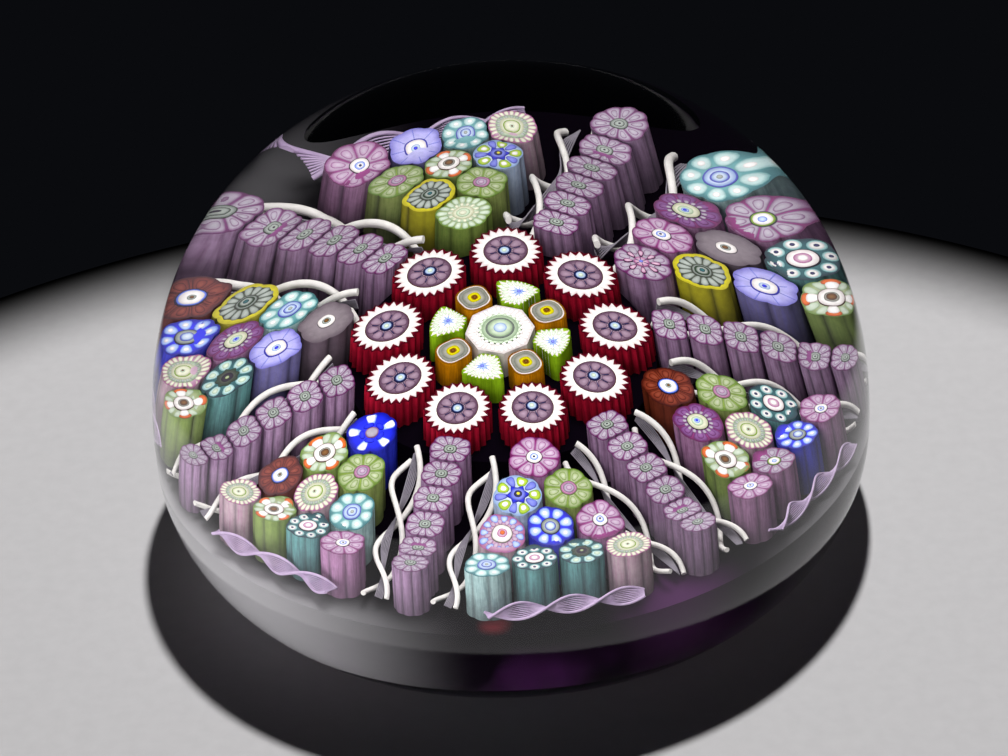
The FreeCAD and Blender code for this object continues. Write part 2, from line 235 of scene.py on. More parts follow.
def brimmed_ball(reach, radius, slope):
    """Height of a sphere about the set-up's centre that has a flatter brim."""
    if reach < BRIM_START:
        return SPHERE_Z + math.sqrt(radius ** 2 - reach ** 2)
    return SPHERE_Z + math.sqrt(radius ** 2 - BRIM_START ** 2) - (reach - BRIM_START) * math.tan(slope)


def surface_height(x, y):
    """Height of the cane tops."""
    return brimmed_ball(math.hypot(x - SETUP_X, y - SETUP_Y), SETUP_CURVE, BRIM_SLOPE)


def ground_height(x, y):
    """Height of the ground that the canes stand on, higher on the cushion in the middle."""
    reach = math.hypot(x - SETUP_X, y - SETUP_Y)
    if reach < RING_REACH:
        return brimmed_ball(reach, SETUP_CURVE - RING_CANE_HEIGHT, GROUND_SLOPE)
    return brimmed_ball(reach, SETUP_CURVE - CANE_HEIGHT, GROUND_SLOPE)


# %% Read the canes from the frame
WANDER = 0.07                 # how far a heart lies off the middle, as a share
hand = random.Random(5)       # the small unevenness of handwork


def islands(work):
    """The separate solids of a mesh, as lists of corners."""
    left = set(work.verts)
    while left:
        found = [left.pop()]
        for vert in found:
            for edge in vert.link_edges:
                other = edge.other_vert(vert)
                if other in left:
                    left.remove(other)
                    found.append(other)
        yield found


def read_canes(node):
    """Middle, outline and number of every cane of a node, in the order they lie round the set-up."""
    work = bmesh.new()
    work.from_mesh(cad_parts[node].data)
    bmesh.ops.remove_doubles(work, verts=work.verts, dist=WELD)
    canes = []
    for corners in islands(work):
        wall = [v.co for v in corners if any(abs(f.normal.z) < 0.1 for f in v.link_faces)]
        xs = [p.x for p in wall]
        ys = [p.y for p in wall]
        x = (min(xs) + max(xs)) / 2
        y = (min(ys) + max(ys)) / 2
        rim = sorted({(round(math.atan2(p.y - y, p.x - x), 4), math.hypot(p.x - x, p.y - y))
                      for p in wall})
        canes.append({"x": x, "y": y, "angles": [r[0] for r in rim], "radii": [r[1] for r in rim]})
    work.free()
    canes.sort(key=lambda c: (math.atan2(c["y"] - SETUP_Y, c["x"] - SETUP_X), c["x"]))
    for cane in canes:
        turn = np.linspace(-math.pi, math.pi, 145)[:-1]
        sharp = np.interp(turn, cane["angles"], cane["radii"], period=2 * math.pi)
        window = np.ones(17) / 17
        soft = np.convolve(np.concatenate([sharp[-8:], sharp, sharp[:8]]), window, "valid")
        cane["turn"], cane["soft"], cane["sharp"] = turn, soft, sharp
        cane["size"] = float(soft.mean())
        cane["wander"] = (hand.uniform(-WANDER, WANDER), hand.uniform(-WANDER, WANDER))
    return canes


def cane_point(cane, rho, angle):
    """Plan point at a share rho of the way from a cane's heart to its pressed outline."""
    sharp = np.interp(angle, cane["turn"], cane["sharp"], period=2 * math.pi)
    soft = np.interp(angle, cane["turn"], cane["soft"], period=2 * math.pi)
    crisp = min(max((rho - 0.7) / 0.3, 0.0), 1.0)
    reach = rho * (soft + (sharp - soft) * crisp)
    shift = (1 - rho) ** 2 * cane["size"] if rho < 1 else 0.0
    x = cane["x"] + shift * cane["wander"][0] + reach * math.cos(angle)
    y = cane["y"] + shift * cane["wander"][1] + reach * math.sin(angle)
    return x, y


def lobe_turn(cane, count):
    """Direction of the first lobe of an outline that has this many lobes."""
    wave = np.sum((cane["sharp"] - cane["soft"]) * np.exp(-1j * count * cane["turn"]))
    return -float(np.angle(wave)) / count


# %% [markdown]
# ## Building rods
#
# A rod is a closed column. Its cut end is a small fan of faces with one ring inside the rim, so that
# the shader's heart, body and skin follow the rod's own shape. The rods of a pattern are laid like
# inlays: each layer stands a hundredth of a millimetre above the one it is set in, which no eye
# sees, and that keeps two surfaces from lying in one place.

# %% A bundle gathers rods into one mesh
LAYER = 0.012 * MM            # one inlay above the next
ROD_FOOT = 0.03 * MM          # how far a rod runs into the ground
INNER_RING = 0.62             # place of the ring between heart and rim


set_up = bpy.data.collections.new("set_up")         # all that lies inside the clear glass


class Bundle:
    def __init__(self):
        self.points = []
        self.faces = []
        self.colours = []
        self.skin = []
        self.side = []
        self.down = []
        self.tone = []
        self.glasses = []

    def glass_index(self, glass):
        if glass not in self.glasses:
            self.glasses.append(glass)
        return self.glasses.index(glass)

    def add_points(self, points, skin, side, down, tone):
        first = len(self.points)
        self.points += points
        self.skin += [skin] * len(points)
        self.side += [side] * len(points)
        self.down += [down] * len(points)
        self.tone += [tone] * len(points)
        return first

    def add_rod(self, outline, glass, layer, tone=1.0, groove_shades=None):
        """One closed column with the given plan outline, cut at the set-up's surface."""
        count = len(outline)
        mid_x = sum(p[0] for p in outline) / count
        mid_y = sum(p[1] for p in outline) / count
        lift = layer * LAYER

        def top(x, y):
            return (x, y, surface_height(x, y) + lift)

        ring = [(mid_x + (x - mid_x) * INNER_RING, mid_y + (y - mid_y) * INNER_RING)
                for x, y in outline]
        heart = self.add_points([top(mid_x, mid_y)], 0.0, 0.0, 0.0, tone)
        inner = self.add_points([top(x, y) for x, y in ring], INNER_RING, 0.0, 0.0, tone)
        rim = self.add_points([top(x, y) for x, y in outline], 1.0, 0.0, 0.0, tone)
        below = [(x, y, surface_height(x, y) - 2 * LAYER) for x, y in outline]
        collar = self.add_points(below, 1.0, 1.0, 0.0, tone)
        feet = [(x, y, ground_height(x, y) - ROD_FOOT) for x, y in outline]
        foot = self.add_points(feet, 1.0, 1.0, 1.0, tone)
        middle_foot = (mid_x, mid_y, ground_height(mid_x, mid_y) - ROD_FOOT)
        base = self.add_points([middle_foot], 1.0, 1.0, 1.0, tone)
        # painted shade in the grooves of a casing's wall
        for i, groove_shade in enumerate(groove_shades or []):
            self.tone[collar + i] = self.tone[foot + i] = groove_shade
        colour = self.glass_index(glass)
        before = len(self.faces)
        for i in range(count):
            j = (i + 1) % count
            self.faces.append((heart, inner + i, inner + j))
            for upper, lower in ((inner, rim), (rim, collar), (collar, foot)):
                self.faces.append((upper + i, lower + i, lower + j, upper + j))
            self.faces.append((foot + i, base, foot + j))
        self.colours += [colour] * (len(self.faces) - before)

    def make(self, name, slot, *nodes):
        """Turns the bundle into one piece that rides on the root and stands for CAD nodes."""
        mesh = bpy.data.meshes.new(name)
        mesh.from_pydata(self.points, [], self.faces)
        mesh.polygons.foreach_set("material_index", self.colours)
        for key in ("skin", "side", "down", "tone"):
            layer = mesh.attributes.new(key, "FLOAT", "POINT")
            layer.data.foreach_set("value", getattr(self, key))
        mesh.shade_smooth()
        mesh.set_sharp_from_angle(angle=math.radians(35))
        for glass in self.glasses:
            mesh.materials.append(GLASS[glass])
        piece = bpy.data.objects.new(name, mesh)
        bpy.context.scene.collection.objects.link(piece)
        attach(piece, "root")
        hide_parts(*nodes)
        set_up.objects.link(piece)


# %% [markdown]
# ## The shapes that patterns are made of
#
# Cane makers need only a few shapes, and so does this file: a whole casing, a round disc, a heart of
# several discs, a toothed cog from a ribbed mould, a ring of petals and a ring of small round rods.
# Every one is drawn in the cane's own pressed outline.

# %% Pattern shapes
DISC_STEPS = 40
ROD_STEPS = 16
GROOVE = 0.05                 # depth of a full groove, as a share of the cane's radius


def casing(bundle, cane, glass, layer=0, tone=1.0):
    """The whole cane, with the outline that the frame gives it. Its grooves get painted shade."""
    outline = [(cane["x"] + r * math.cos(a), cane["y"] + r * math.sin(a))
               for a, r in zip(cane["angles"], cane["radii"])]
    smooth = np.interp(cane["angles"], cane["turn"], cane["soft"], period=2 * math.pi)
    # painted shade: the deeper a groove, the darker its wall
    depth = np.clip((smooth - cane["radii"]) / (GROOVE * cane["size"]), 0, 1)
    bundle.add_rod(outline, glass, layer, tone, [float(1 - 0.65 * d) for d in depth])


def disc(bundle, cane, radius, glass, layer, tone=1.0):
    angles = [2 * math.pi * i / DISC_STEPS for i in range(DISC_STEPS)]
    bundle.add_rod([cane_point(cane, radius, a) for a in angles], glass, layer, tone)


def heart(bundle, cane, layer, *rings):
    """Discs laid one on another from a layer up, the widest first: (radius, glass) or with a tone."""
    for step, ring in enumerate(rings):
        disc(bundle, cane, ring[0], ring[1], layer + step, *ring[2:])


def cog(bundle, cane, tip, root, teeth, glass, layer, turn=0.0, tone=1.0):
    outline = []
    for i in range(2 * teeth):
        outline.append(cane_point(cane, tip if i % 2 == 0 else root, turn + math.pi * i / teeth))
    bundle.add_rod(outline, glass, layer, tone)


def petals(bundle, cane, count, near, far, fill, glass, layer, turn=0.0, tone=1.0, blunt=0.75):
    """A ring of rods from near to far; fill is the share of the ring that they take up."""
    for k in range(count):
        middle = turn + 2 * math.pi * (k + hand.uniform(-0.02, 0.02)) / count
        outline = []
        for i in range(ROD_STEPS):
            a = 2 * math.pi * i / ROD_STEPS
            out = math.copysign(abs(math.cos(a)) ** blunt, math.cos(a))
            across = math.copysign(abs(math.sin(a)) ** blunt, math.sin(a))
            rho = (near + far) / 2 + (far - near) / 2 * out
            outline.append(cane_point(cane, rho, middle + fill * math.pi / count * across))
        bundle.add_rod(outline, glass, layer, tone * hand.uniform(0.93, 1.05))


def ring_of_discs(bundle, cane, at, count, size, glass, layer, turn=0.0, tone=1.0):
    """A ring of small round rods: at is the distance of their hearts, size their radius."""
    for k in range(count):
        x, y = cane_point(cane, at, turn + 2 * math.pi * k / count)
        reach = size * cane["size"]
        outline = []
        for i in range(ROD_STEPS):
            a = 2 * math.pi * i / ROD_STEPS
            outline.append((x + reach * math.cos(a), y + reach * math.sin(a)))
        bundle.add_rod(outline, glass, layer, tone * hand.uniform(0.95, 1.05))


# %% [markdown]
# ## The centre cane
#
# The biggest cane stands in the middle: an eight-sided white rim, a ring of white beads with
# bottle-green glass between them, and soft rings of ivory, pearl and mint round the heart.

# %% Centre cane
centre = Bundle()
for cane in read_canes("centre_cane"):
    casing(centre, cane, "white", tone=0.86)
    petals(centre, cane, 40, 0.70, 0.95, 0.90, "white", 1, tone=0.94)
    disc(centre, cane, 0.66, "bottle_green", 2)
    ring_of_discs(centre, cane, 0.645, 22, 0.062, "white", 3)
    ring_of_discs(centre, cane, 0.555, 22, 0.085, "mint", 4, turn=0.14)
    heart(centre, cane, 5, (0.56, "mint", 0.8), (0.44, "pearl", 0.7), (0.37, "mint", 0.84),
          (0.20, "ice", 0.9))
centre.make("centre_cane_glass", "white_green_glass", "centre_cane")

# %% [markdown]
# ## The inner ring
#
# Eight canes are pressed in round the centre. Four are white fine-toothed fans with a pale blue star
# heart in a lime coat, and four are amber leaves with a grey body, a white outline and a brown dot in
# a yellow ring.

# %% Inner ring
def green_cog_pattern(bundle, cane):
    casing(bundle, cane, "lime")
    cog(bundle, cane, 0.98, 0.80, 24, "white", 1)
    petals(bundle, cane, 18, 0.46, 0.82, 0.8, "mint", 2, blunt=1.0, tone=1.1)
    cog(bundle, cane, 0.56, 0.40, 12, "white", 3)
    cog(bundle, cane, 0.40, 0.20, 9, "ice", 4)
    cog(bundle, cane, 0.26, 0.12, 9, "sky", 5)
    disc(bundle, cane, 0.10, "periwinkle", 6)


def amber_pattern(bundle, cane):
    casing(bundle, cane, "amber")
    heart(bundle, cane, 1, (0.90, "white", 0.92), (0.83, "grey", 0.92), (0.68, "pearl", 1.1),
          (0.64, "grey"), (0.38, "yellow", 0.85), (0.20, "amber"), (0.14, "brown"))


for family, pattern, slot in (("green_cog_cane", green_cog_pattern, "lime_white_glass"),
                              ("amber_cane", amber_pattern, "amber_glass")):
    for number in range(1, 5):
        node = f"{family}_{number}"
        bundle = Bundle()
        for cane in read_canes(node):
            pattern(bundle, cane)
        bundle.make(node + "_glass", slot, node)

# %% [markdown]
# ## The ruby canes
#
# Nine large canes ring the centre. Their ruby coat was blown in a ribbed mould, so the wall is fluted
# from top to foot, and the white layer inside it ends in pointed teeth. Inside the white lies a mauve
# disc of eight fused rods, with a mint dot in a navy ring at the heart.

# %% Ruby canes
RUBY_TEETH = 24


def ruby_pattern(bundle, cane, turn):
    casing(bundle, cane, "ruby")
    cog(bundle, cane, 0.96, 0.82, RUBY_TEETH, "white", 1, turn)
    heart(bundle, cane, 2, (0.640, "brown", 1.5), (0.622, "mauve_disc"))
    petals(bundle, cane, 8, 0.22, 0.58, 0.86, "mauve_disc", 4, turn, tone=1.12)
    petals(bundle, cane, 8, 0.20, 0.46, 0.10, "navy", 5, turn + math.pi / 8)
    heart(bundle, cane, 6, (0.20, "navy"), (0.135, "ice", 0.85), (0.07, "mint"))


for number in range(1, 10):
    node = f"ruby_cane_{number}"
    bundle = Bundle()
    for cane in read_canes(node):
        ruby_pattern(bundle, cane, lobe_turn(cane, RUBY_TEETH))
    bundle.make(node + "_glass", "ruby_cased_glass", node)

# %% [markdown]
# ## The six rows of mauve canes
#
# Slices of one mauve rod stand in straight rows. Each is a flower of pale petals with magenta glass
# squeezed out between them, round a pearl ring with a dark line. The petals sit in the lobes that the
# frame's outline already has.

# %% Spoke canes
SPOKE_LOBES = 10


def flower(bundle, cane, petal, gap, turn, count=8, tone=1.0):
    """Petals that fill the cane, with thin lines of another glass between them."""
    casing(bundle, cane, gap, tone=tone)
    petals(bundle, cane, count, 0.22, 0.98, 0.93, petal, 1, turn, tone, blunt=0.42)
    petals(bundle, cane, count, 0.42, 0.84, 0.50, petal, 2, turn, 1.06 * tone, blunt=0.8)


def mauve_pattern(bundle, cane, tone):
    flower(bundle, cane, "mauve", "mauve_line", lobe_turn(cane, SPOKE_LOBES), SPOKE_LOBES, tone)
    heart(bundle, cane, 3, (0.33, "olive_line", tone), (0.295, "pearl", tone),
          (0.19, "olive_line", tone), (0.165, "pearl", tone), (0.05, "ink", tone))


for number in range(1, 7):
    node = f"spoke_{number}_canes"
    bundle = Bundle()
    for cane in read_canes(node):
        mauve_pattern(bundle, cane, hand.uniform(0.92, 1.06))
    bundle.make(node + "_glass", "mauve_glass", node)

# %% [markdown]
# ## The assorted canes
#
# The six panels hold ten canes each, of nineteen kinds. Each kind is one short recipe of casing,
# petals and discs, so the difference between two kinds can be read line by line.

# %% Recipes of the assorted canes, first the flowers
def pink(bundle, cane, turn):
    flower(bundle, cane, "pink", "pink_line", turn)
    heart(bundle, cane, 3, (0.33, "ink"), (0.30, "white"), (0.17, "sky"), (0.10, "white"),
          (0.05, "navy"))


def moss(bundle, cane, turn):
    flower(bundle, cane, "moss", "moss_line", turn)
    heart(bundle, cane, 3, (0.36, "moss", 0.6), (0.33, "rose", 0.85), (0.24, "mauve"), (0.12, "pink"))


def plum(bundle, cane, turn):
    flower(bundle, cane, "plum", "pink_line", turn)
    petals(bundle, cane, 16, 0.44, 0.62, 0.7, "mauve", 3, turn)
    heart(bundle, cane, 4, (0.44, "ink"), (0.41, "ivory"), (0.24, "mint"), (0.12, "sky"),
          (0.06, "cobalt"))


def brick(bundle, cane, turn):
    flower(bundle, cane, "brick", "brick", turn, tone=0.8)
    heart(bundle, cane, 3, (0.42, "navy"), (0.37, "sky"), (0.32, "white"), (0.12, "pearl"),
          (0.06, "brown"))


def mauve(bundle, cane, turn):
    flower(bundle, cane, "mauve", "pink_line", turn)
    heart(bundle, cane, 3, (0.34, "olive_line"), (0.30, "lime"), (0.25, "white"), (0.12, "sky"))


def heather(bundle, cane, turn):
    flower(bundle, cane, "mauve", "mauve_line", turn)
    petals(bundle, cane, 8, 0.30, 0.66, 0.50, "ink", 3, turn + math.pi / 8)
    petals(bundle, cane, 8, 0.33, 0.63, 0.38, "rose", 4, turn + math.pi / 8)
    disc(bundle, cane, 0.26, "rose", 5, 0.95)
    petals(bundle, cane, 6, 0.07, 0.25, 0.18, "navy", 6, turn)
    disc(bundle, cane, 0.07, "periwinkle", 7)


# %% Then the canes with round rods, stars and wedges
def teal_circle(bundle, cane, turn):
    casing(bundle, cane, "teal")
    ring_of_discs(bundle, cane, 0.735, 8, 0.235, "aqua", 1, turn)
    ring_of_discs(bundle, cane, 0.735, 8, 0.165, "white", 2, turn, 0.9)
    ring_of_discs(bundle, cane, 0.735, 8, 0.07, "navy", 3, turn)
    heart(bundle, cane, 4, (0.45, "ink"), (0.41, "white"), (0.24, "rose"), (0.13, "white"))


def cream(bundle, cane, turn):
    casing(bundle, cane, "rose", tone=0.9)
    petals(bundle, cane, 24, 0.66, 0.97, 0.75, "ivory", 1, turn, tone=1.05)
    disc(bundle, cane, 0.68, "mint", 2, tone=0.9)
    petals(bundle, cane, 16, 0.44, 0.66, 0.7, "pearl", 3, turn)
    heart(bundle, cane, 4, (0.50, "ivory"), (0.36, "lime", 1.05), (0.31, "ivory", 1.1), (0.10, "mint"),
          (0.05, "brown"))


def tangerine(bundle, cane, turn):
    casing(bundle, cane, "moss")
    petals(bundle, cane, 12, 0.5, 0.96, 0.8, "mint", 1, turn, 0.85)
    petals(bundle, cane, 4, 0.72, 0.985, 0.48, "orange", 2, turn)
    petals(bundle, cane, 4, 0.42, 0.84, 0.42, "white", 3, turn)
    heart(bundle, cane, 4, (0.48, "brown"), (0.45, "white"), (0.26, "grey"), (0.18, "brown"))


def blue_circle(bundle, cane, turn):
    casing(bundle, cane, "cobalt")
    petals(bundle, cane, 8, 0.42, 0.95, 0.80, "sky", 1, turn)
    ring_of_discs(bundle, cane, 0.70, 8, 0.10, "white", 2, turn)
    heart(bundle, cane, 3, (0.42, "navy"), (0.38, "pearl"), (0.24, "periwinkle"), (0.19, "ice"))


def rose(bundle, cane, turn):
    casing(bundle, cane, "rose", tone=0.85)
    petals(bundle, cane, 12, 0.60, 0.96, 0.72, "sky", 1, turn, 0.9)
    petals(bundle, cane, 12, 0.46, 0.74, 0.62, "pink", 2, turn + math.pi / 12)
    heart(bundle, cane, 3, (0.46, "grey", 0.8), (0.42, "white"), (0.22, "rose"), (0.11, "orange"))


def periwinkle(bundle, cane, turn):
    casing(bundle, cane, "ice", tone=0.9)
    petals(bundle, cane, 5, 0.44, 0.96, 0.52, "lime", 1, turn)
    petals(bundle, cane, 5, 0.56, 0.80, 0.26, "white", 2, turn)
    petals(bundle, cane, 5, 0.40, 0.94, 0.36, "periwinkle", 3, turn + math.pi / 5)
    cog(bundle, cane, 0.50, 0.34, 6, "cobalt", 4, turn)
    heart(bundle, cane, 5, (0.32, "periwinkle"), (0.17, "navy"), (0.07, "yellow"))


def teal_dark(bundle, cane, turn):
    casing(bundle, cane, "teal")
    petals(bundle, cane, 8, 0.46, 0.96, 0.78, "aqua", 1, turn)
    petals(bundle, cane, 8, 0.58, 0.84, 0.42, "mint", 2, turn)
    cog(bundle, cane, 0.50, 0.40, 8, "bottle_green", 3, turn)
    heart(bundle, cane, 4, (0.34, "olive_line"), (0.24, "ink"), (0.08, "moss"))


def pale_blue(bundle, cane, turn):
    casing(bundle, cane, "aqua_line")
    petals(bundle, cane, 8, 0.44, 0.96, 0.88, "aqua", 1, turn, 1.05)
    ring_of_discs(bundle, cane, 0.72, 8, 0.10, "white", 2, turn)
    heart(bundle, cane, 3, (0.42, "periwinkle"), (0.37, "ice"), (0.24, "periwinkle"), (0.19, "ice"),
          (0.08, "pearl"))


def blue_wedge(bundle, cane, turn):
    casing(bundle, cane, "cobalt")
    petals(bundle, cane, 5, 0.42, 0.94, 0.42, "sky", 1, turn, blunt=0.5)
    petals(bundle, cane, 5, 0.56, 0.92, 0.34, "white", 2, turn, 0.95, blunt=0.5)
    petals(bundle, cane, 5, 0.30, 0.52, 0.8, "cobalt", 3, turn + 0.3, 1.2)
    disc(bundle, cane, 0.27, "mauve", 4, 0.9)


def lavender(bundle, cane, turn):
    casing(bundle, cane, "lavender")
    petals(bundle, cane, 8, 0.44, 0.97, 0.06, "periwinkle", 1, turn)
    heart(bundle, cane, 2, (0.46, "cobalt"), (0.40, "white"), (0.18, "ice"), (0.08, "cobalt"))


def yellow(bundle, cane, turn):
    casing(bundle, cane, "yellow")
    cog(bundle, cane, 0.86, 0.80, 8, "olive_line", 1, turn)
    petals(bundle, cane, 14, 0.36, 0.84, 0.86, "pearl", 2, turn)
    heart(bundle, cane, 3, (0.38, "olive_line"), (0.33, "pearl"), (0.27, "bottle_green"),
          (0.20, "pearl"), (0.10, "teal"))


def lime(bundle, cane, turn):
    casing(bundle, cane, "moss")
    petals(bundle, cane, 18, 0.56, 0.96, 0.84, "mint", 1, turn, 0.9)
    disc(bundle, cane, 0.60, "mint", 2, 0.92)
    petals(bundle, cane, 14, 0.40, 0.58, 0.6, "ivory", 3, turn)
    heart(bundle, cane, 4, (0.40, "ivory"), (0.26, "mint"), (0.14, "ivory"))


def smoke(bundle, cane, turn):
    casing(bundle, cane, "smoke")
    heart(bundle, cane, 1, (0.34, "ink"), (0.32, "white"), (0.17, "pearl"), (0.10, "brown"))


# %% Press every assorted cane
PANEL_LOBES = 8
RECIPES = [pink, moss, plum, brick, teal_circle, cream, tangerine, mauve, blue_circle, rose,
           periwinkle, teal_dark, pale_blue, blue_wedge, lavender, yellow, lime, smoke, heather]
for recipe in RECIPES:
    kind = recipe.__name__
    node = kind + "_canes"
    bundle = Bundle()
    for cane in read_canes(node):
        recipe(bundle, cane, lobe_turn(cane, PANEL_LOBES))
    slot = "mauve_glass" if kind == "mauve" else kind + "_glass"
    bundle.make(node + "_glass", slot, node)
    print(node, len(bundle.faces), "faces")

# %% [markdown]
# ## Twisted thread rods
#
# Beside each row lies a clear rod with two opaque white threads near its skin and a fine grey gauze in
# its core, all twisted together while hot. The clear part vanishes in the dome, so only threads are
# made: tubes along a helix round a line that follows the domed set-up. The gauze is a flat bank of
# hair-fine threads that reaches from the rod's axis to one of the white threads and turns with it.

# %% Thread glass
def thread_glass(name, colour, dark):
    """Opal thread: a little darker where a streak of clear runs along it."""
    material, tree = new_material(name)
    place = add_node(tree, "TexCoord")
    cloud = add_node(tree, "TexNoise", i0=(place, "Object"), Scale=1 / (0.6 * MM), Detail=2.0)
    shade = add_node(tree, "Mix", COLOURS, i0=(cloud, "Fac"),
                     i6=linear(colour), i7=linear(dark))
    shader = add_node(tree, "BsdfPrincipled", Base_Color=(shade, 2), Roughness=0.4, IOR=1.5,
                      Specular_IOR_Level=0.0)
    add_node(tree, "OutputMaterial", Surface=(shader, 0))
    return material


WHITE_THREAD = thread_glass("white_thread", "#E4E0DC", "#C4BFBC")
GAUZE_THREAD = thread_glass("grey_gauze", "#8E8890", "#6A6470")
LILAC_THREAD = thread_glass("lilac_thread", "#C2B0CA", "#9A82A6")


# %% Tubes along a path
HELIX_STEPS = 64
TUBE_SIDES = 10


def tube_mesh(paths, name, materials):
    """Round tubes with flat closed ends: paths holds (points, radius, material number)."""
    points, faces, colours = [], [], []
    for path, radius, colour in paths:
        first = len(points)
        before = len(faces)
        for i, here in enumerate(path):
            ahead = (path[min(i + 1, len(path) - 1)] - path[max(i - 1, 0)]).normalized()
            across = ahead.cross(Vector((0, 0, 1))).normalized()
            over = across.cross(ahead)
            for k in range(TUBE_SIDES):
                a = 2 * math.pi * k / TUBE_SIDES
                points.append(here + (across * math.cos(a) + over * math.sin(a)) * radius)
        rings = len(path)
        for i in range(rings - 1):
            for k in range(TUBE_SIDES):
                a = first + i * TUBE_SIDES + k
                b = first + i * TUBE_SIDES + (k + 1) % TUBE_SIDES
                faces.append((a, b, b + TUBE_SIDES, a + TUBE_SIDES))
        points.append(path[0])
        points.append(path[-1])
        last = first + (rings - 1) * TUBE_SIDES
        for k in range(TUBE_SIDES):
            n = (k + 1) % TUBE_SIDES
            faces.append((first + n, first + k, len(points) - 2))
            faces.append((last + k, last + n, len(points) - 1))
        colours += [colour] * (len(faces) - before)
    mesh = bpy.data.meshes.new(name)
    mesh.from_pydata(points, [], faces)
    mesh.polygons.foreach_set("material_index", colours)
    mesh.shade_smooth()
    mesh.set_sharp_from_angle(angle=math.radians(50))
    for material in materials:
        mesh.materials.append(material)
    return mesh


def helix(start, end, radius, turns, phase):
    """Points of a thread wound round the line from start to end, bent over the domed set-up."""
    along = (end - start).normalized()
    across = along.cross(Vector((0, 0, 1))).normalized()
    over = across.cross(along)
    points = []
    for i in range(HELIX_STEPS + 1):
        s = i / HELIX_STEPS
        axis = start.lerp(end, s)
        chord = surface_height(start.x, start.y) * (1 - s) + surface_height(end.x, end.y) * s
        bow = surface_height(axis.x, axis.y) - chord
        a = phase + 2 * math.pi * turns * s
        offset = across * math.cos(a) * radius + over * math.sin(a) * radius
        points.append(axis + Vector((0, 0, bow)) + offset)
    return points


# %% [markdown]
# The two CAD threads of a rod tell where it lies: their ends give the rod's axis, and the spread gives
# its radius.

# %% Spoke twists
TWIST_PITCH = 11.0 * MM
THREAD_RADIUS = 0.21 * MM
SKIN = 0.03 * MM              # clear glass outside the white threads
GAUZE_RADIUS = 0.045 * MM
GAUZE_COUNT = 6
GAUZE_LEAD = 0.35             # how far the gauze is turned ahead of its white thread


def rod_axis(node):
    """Ends of the axis of the rod that lies in a node, inner end first, and its thread radius."""
    corners = np.array([v.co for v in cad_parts[node].data.vertices])
    middle = corners.mean(0)
    spread = np.linalg.svd(corners - middle, full_matrices=False)[2]
    way = spread[0]
    reach = (corners - middle) @ way
    across = np.linalg.norm((corners - middle) - np.outer(reach, way), axis=1)
    ends = [Vector(middle + way * reach.min()), Vector(middle + way * reach.max())]
    ends.sort(key=lambda p: math.hypot(p.x - SETUP_X, p.y - SETUP_Y))
    return ends[0], ends[1], float(across.max())


for number in range(1, 7):
    for side in ("left", "right"):
        node = f"spoke_{number}_twist_{side}"
        start, end, reach = rod_axis(node)
        winding = reach - THREAD_RADIUS - SKIN
        turns = (end - start).length / TWIST_PITCH * hand.uniform(0.97, 1.08)
        phase = math.pi / 2 + hand.uniform(-0.35, 0.35)
        paths = []
        for half in (0, math.pi):
            paths.append((helix(start, end, winding, turns, phase + half), THREAD_RADIUS, 0))
        for k in range(GAUZE_COUNT):
            spread = winding * (0.02 + 0.12 * k)
            paths.append((helix(start, end, spread, turns, phase + GAUZE_LEAD), GAUZE_RADIUS, 1))
        mesh = tube_mesh(paths, node, [WHITE_THREAD, GAUZE_THREAD])
        piece = bpy.data.objects.new(node + "_threads", mesh)
        bpy.context.scene.collection.objects.link(piece)
        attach(piece, "root")
        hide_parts(node)
        set_up.objects.link(piece)
print("twist rod, mm:", round((end - start).length / MM, 2), "reach", round(reach / MM, 2))

# %% [markdown]
# ## The rim twists
#
# Finer rods of lilac thread close the panels at the rim: two threads near the skin, and between them a
# flat bank of hair-fine ones.

# %% Rim twists
def island_axes(node):
    """The threads of a node in pairs, as the corners of each rod."""
    work = bmesh.new()
    work.from_mesh(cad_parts[node].data)
    bmesh.ops.remove_doubles(work, verts=work.verts, dist=WELD)
    threads = [np.array([v.co for v in corners]) for corners in islands(work)]
    work.free()
    rods = []
    while threads:
        one = threads.pop()
        near = min(threads, key=lambda t: np.linalg.norm(t.mean(0) - one.mean(0)))
        threads = [t for t in threads if t is not near]
        rods.append(np.concatenate([one, near]))
    return rods


RIM_THREAD = 0.13 * MM
RIM_GAUZE = 0.05 * MM
RIM_GAUZE_COUNT = 9
RIM_TURNS = 1.5
paths = []
for corners in island_axes("rim_twists"):
    middle = corners.mean(0)
    way = np.linalg.svd(corners - middle, full_matrices=False)[2][0]
    reach = (corners - middle) @ way
    start, end = Vector(middle + way * reach.min()), Vector(middle + way * reach.max())
    across = np.linalg.norm((corners - middle) - np.outer(reach, way), axis=1).max()
    reach = across - RIM_THREAD
    for half in (0, math.pi):
        paths.append((helix(start, end, reach, RIM_TURNS, half), RIM_THREAD, 0))
    for k in range(RIM_GAUZE_COUNT):
        share = (k / (RIM_GAUZE_COUNT - 1) - 0.5) * 1.8
        paths.append((helix(start, end, reach * share, RIM_TURNS, 0), RIM_GAUZE, 0))
piece = bpy.data.objects.new("rim_twist_threads", tube_mesh(paths, "rim_twists", [LILAC_THREAD]))
bpy.context.scene.collection.objects.link(piece)
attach(piece, "root")
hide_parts("rim_twists")
set_up.objects.link(piece)
